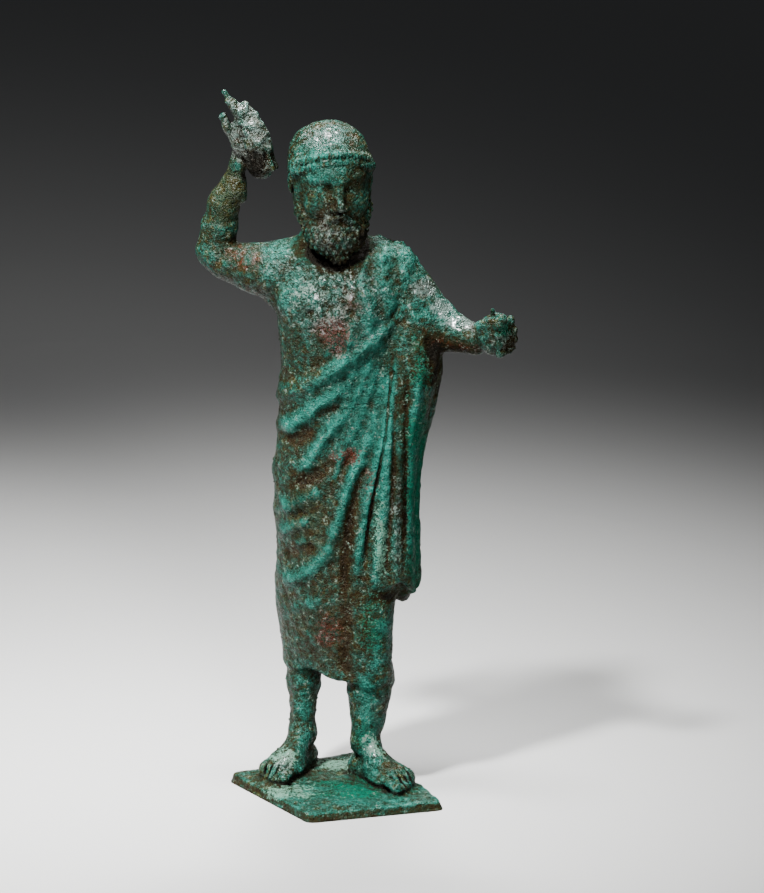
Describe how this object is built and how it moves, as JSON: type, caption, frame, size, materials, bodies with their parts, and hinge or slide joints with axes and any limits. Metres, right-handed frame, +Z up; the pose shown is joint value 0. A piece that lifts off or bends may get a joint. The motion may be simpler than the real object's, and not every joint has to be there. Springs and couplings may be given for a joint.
{
  "type": "statuette",
  "caption": "Cast bronze statuette of a bearded god in a draped mantle, one arm raised with a broken thunderbolt, standing on its own thin cast plate.",
  "frame": {"origin": "middle of the plate's underside", "axes": "+Z up, -Y the way the figure faces, +X towards the figure's left hand"},
  "size_m": [0.0684, 0.0491, 0.1523],
  "materials": {
    "patinated_bronze": "blue-green and dark brown patina, semi-gloss, pitted"
  },
  "bodies": {
    "root": {"statuette": "patinated_bronze"}
  },
  "joints": []
}
